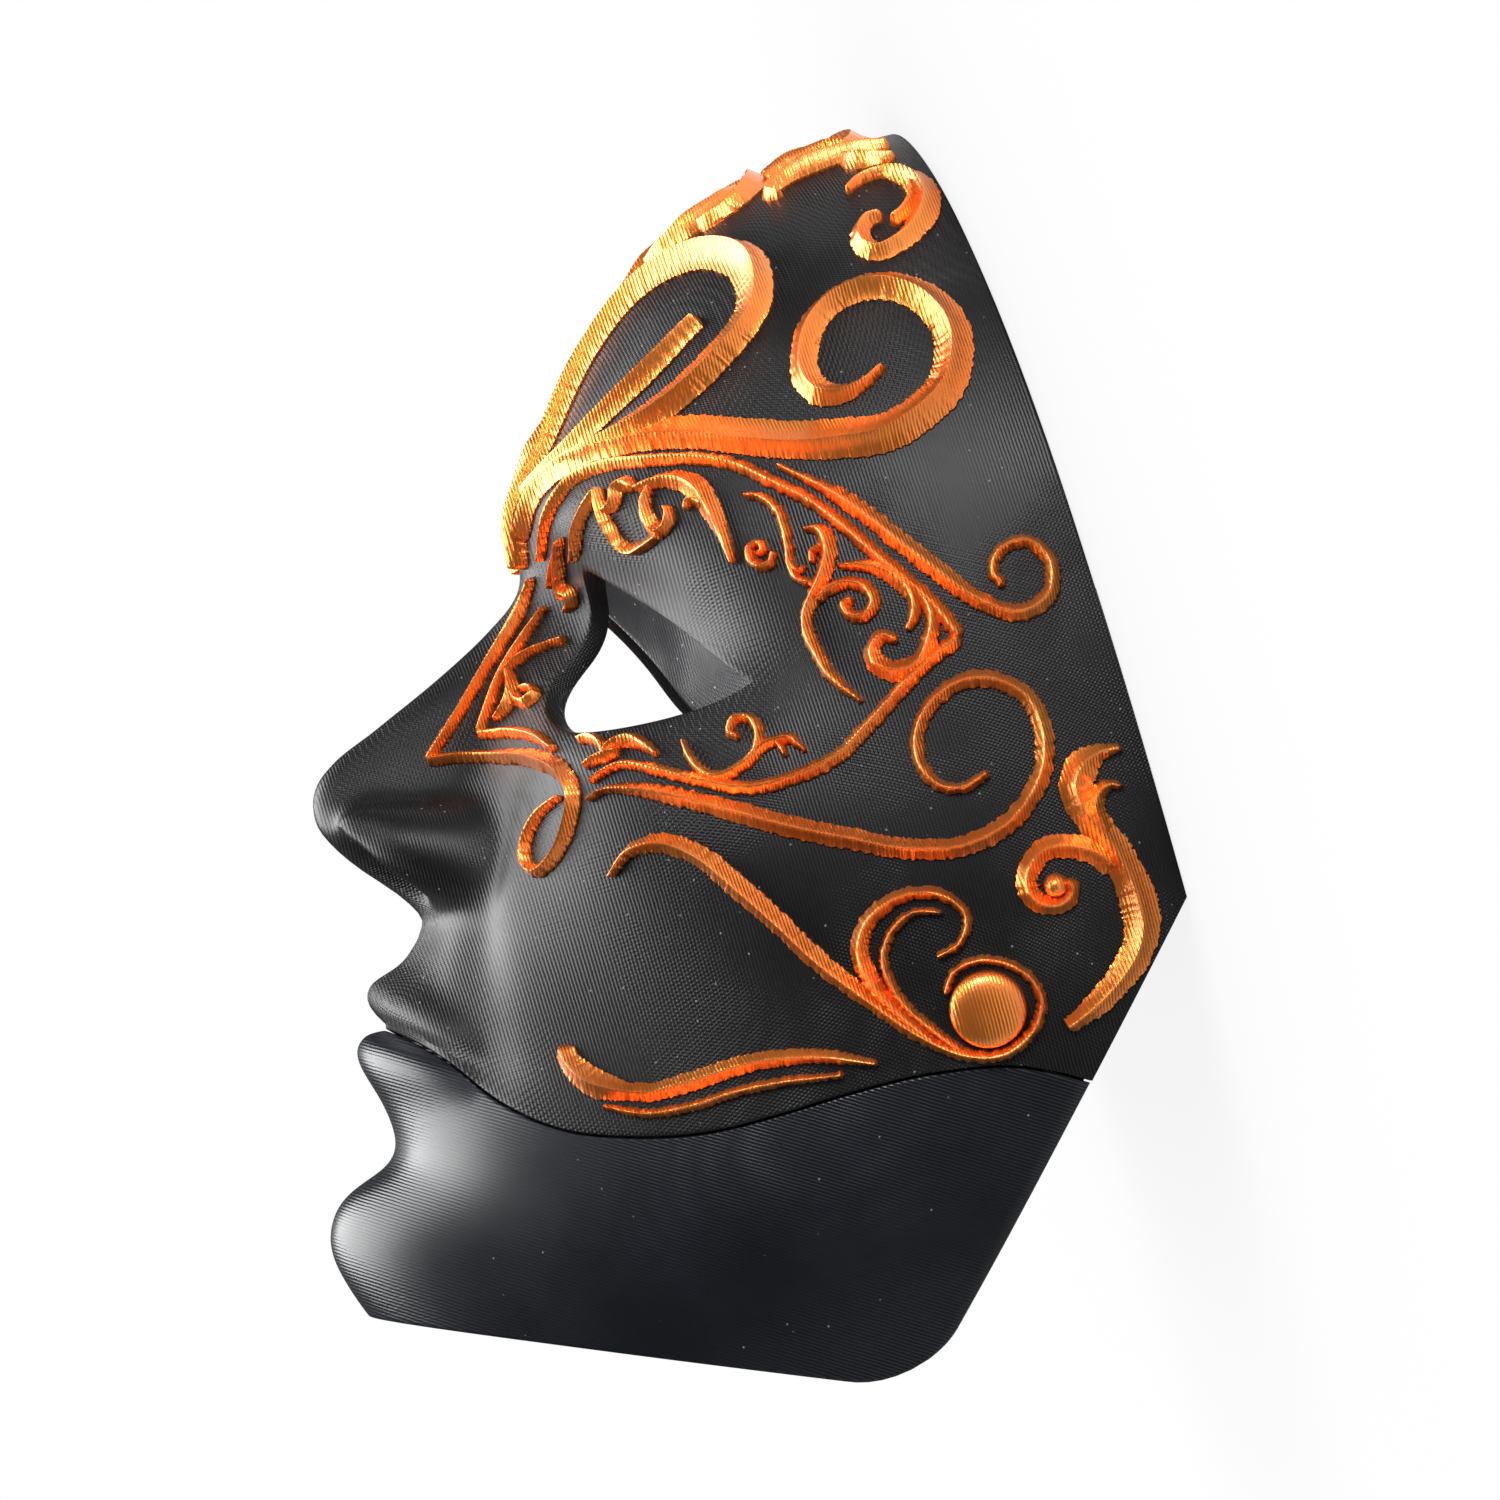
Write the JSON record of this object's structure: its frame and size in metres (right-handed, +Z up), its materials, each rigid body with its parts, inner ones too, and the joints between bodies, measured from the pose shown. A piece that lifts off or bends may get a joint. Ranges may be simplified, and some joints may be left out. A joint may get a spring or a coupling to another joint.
{
  "type": "masquerade mask",
  "caption": "Full-face masquerade mask: a thin black shell with a separate jaw piece, open eye holes and raised copper scrollwork.",
  "frame": {"origin": "on the surface the mask lies on, under the middle of its width and length", "axes": "the mask lies face up: +X towards the wearer's left, +Y towards the crown, +Z up out of the face"},
  "size_m": [0.1448, 0.1863, 0.1311],
  "materials": {
    "black_satin": "satin black printed plastic with very fine layer lines along the rim's plane",
    "black_gloss": "slightly glossier blue-black printed plastic",
    "copper_silk": "silky copper-coloured plastic with a soft metallic sheen"
  },
  "bodies": {
    "root": {"upper_face": "black_satin", "lower_jaw": "black_gloss", "brow_crest": "copper_silk", "crown_crest": "copper_silk", "temple_comma_left": "copper_silk", "temple_comma_right": "copper_silk", "temple_tendril_left": "copper_silk", "temple_tendril_right": "copper_silk", "eye_frame_left": "copper_silk", "eye_frame_right": "copper_silk", "nose_scroll_left": "copper_silk", "nose_scroll_right": "copper_silk", "nose_leaf_left": "copper_silk", "nose_leaf_right": "copper_silk", "nose_sprig_left": "copper_silk", "nose_sprig_right": "copper_silk", "brow_sprig_left": "copper_silk", "brow_sprig_right": "copper_silk", "lid_scroll_left": "copper_silk", "lid_scroll_right": "copper_silk", "lid_spiral_left": "copper_silk", "lid_spiral_right": "copper_silk", "under_eye_cluster_left": "copper_silk", "under_eye_cluster_right": "copper_silk", "cheek_scroll_left": "copper_silk", "cheek_scroll_right": "copper_silk", "cheek_flourish_left": "copper_silk", "cheek_flourish_right": "copper_silk", "cheek_boss_left": "copper_silk", "cheek_boss_right": "copper_silk", "ear_leaf_left": "copper_silk", "ear_leaf_right": "copper_silk", "jaw_wave_left": "copper_silk", "jaw_wave_right": "copper_silk", "jaw_line_left": "copper_silk", "jaw_line_right": "copper_silk"}
  },
  "joints": []
}
